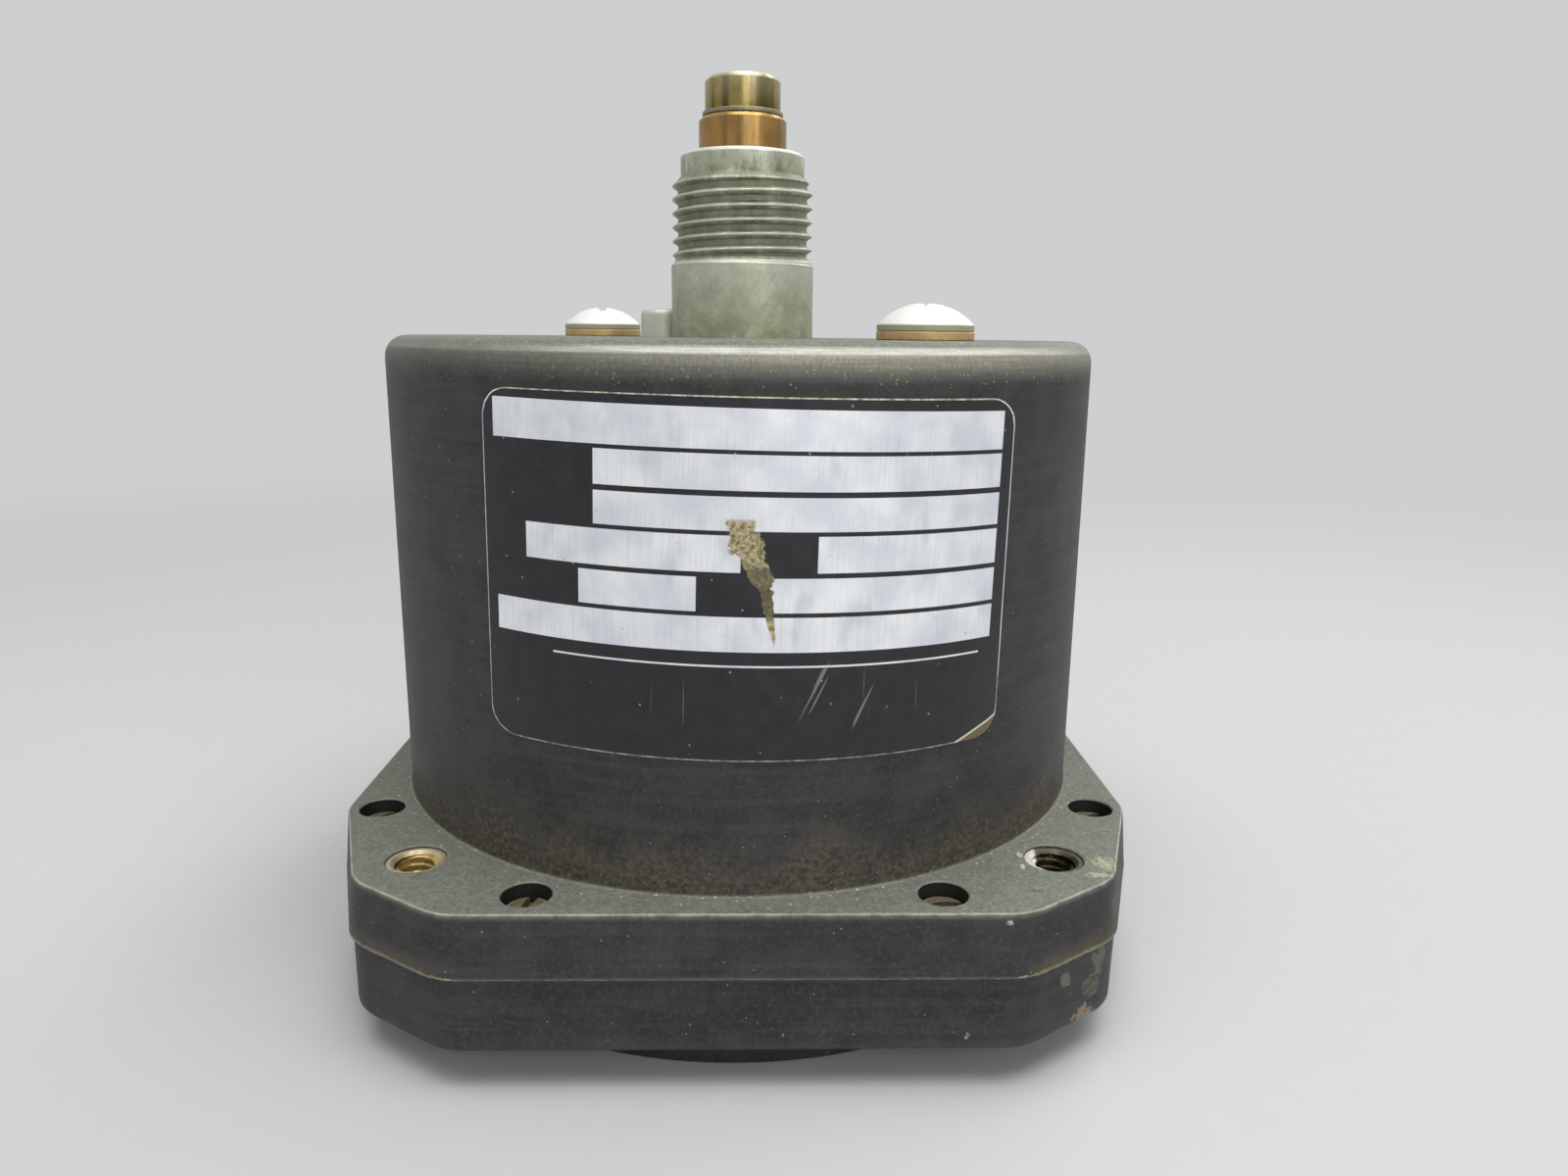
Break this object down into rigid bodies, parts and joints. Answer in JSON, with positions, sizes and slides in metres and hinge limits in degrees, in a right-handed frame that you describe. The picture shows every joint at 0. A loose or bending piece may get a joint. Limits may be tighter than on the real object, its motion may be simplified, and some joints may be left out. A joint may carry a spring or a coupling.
{
  "type": "aircraft tachometer",
  "caption": "Panel tachometer head: a round black case on a faceted square flange, a threaded drive stem behind, and a magnetic drag-cup movement that turns the pointer.",
  "frame": {"origin": "centre of the front lip's rim, on which the instrument rests face down", "axes": "+Z along the instrument's axis from the dial to the drive spindle; -Y towards the side with the data plate, which is the dial's top; +X to the pilot's right"},
  "size_m": [0.0856, 0.0862, 0.0957],
  "materials": {
    "case_phenolic": "moulded, matte black, scuffed edges",
    "bezel_phenolic": "moulded, matte black, chipped edge",
    "window_glass": "clear",
    "seal_rubber": "matte",
    "black_metal": "matte black",
    "insert_brass": "dull, threaded",
    "screw_steel": "dull grey",
    "plate_foil": "black print on silver foil",
    "screw_bright": "bright plating",
    "washer_copper": "brown, tarnished",
    "stem_zinc": "dull grey casting",
    "bronze": "brown bronze",
    "spindle_brass": "gold, machined",
    "magnet_grey": "dark",
    "cup_aluminium": "satin",
    "soft_iron": "plain",
    "jewel_ruby": "clear red",
    "clock_brass": "plain",
    "clock_steel": "plain",
    "dial_black": "matte black with pale marks",
    "pointer_white": "pale"
  },
  "bodies": {
    "housing": {"case": "case_phenolic", "bezel": "bezel_phenolic", "cover_glass": "window_glass", "glass_gasket": "seal_rubber", "spacer_ring": "black_metal", "mounting_inserts": "insert_brass", "bezel_screws": "screw_steel", "data_plate": "plate_foil", "case_screws": "screw_bright", "screw_washers": "washer_copper", "drive_neck": "stem_zinc", "movement_frame": "stem_zinc", "rear_bushing": "bronze", "front_bushing": "bronze", "field_cup": "soft_iron", "front_jewel": "jewel_ruby", "hairspring_stud": "clock_brass", "bridge_pillars": "clock_steel", "bridge_plate": "stem_zinc", "bridge_screws": "clock_steel", "dial": "dial_black", "dial_posts": "clock_brass", "dial_screws": "black_metal", "pointer_stop": "black_metal"},
    "drive": {"drive_spindle": "spindle_brass", "thrust_washer": "clock_steel", "spindle_clip": "clock_steel", "magnet_hub": "clock_brass", "compensator_ring": "soft_iron", "magnet": "magnet_grey", "rear_jewel": "jewel_ruby"},
    "needle": {"pointer_staff": "clock_steel", "drag_cup": "cup_aluminium", "drag_cup_hub": "clock_brass", "hairspring": "clock_brass", "hairspring_collet": "clock_brass", "pointer": "pointer_white", "pointer_hub": "clock_brass"}
  },
  "joints": [
    {"name": "drive_spin", "type": "hinge", "parent": "housing", "child": "drive", "pos_m": [0, 0, 0.0755], "axis": [0, 0, 1], "continuous": true},
    {"name": "pointer_sweep", "type": "hinge", "parent": "housing", "child": "needle", "pos_m": [0, 0, 0.03], "axis": [0, 0, 1], "range_deg": [0, 262.5], "stiffness_Nm_per_rad": 0.00002, "springref_deg": -11.46, "deforming": ["hairspring"]}
  ]
}
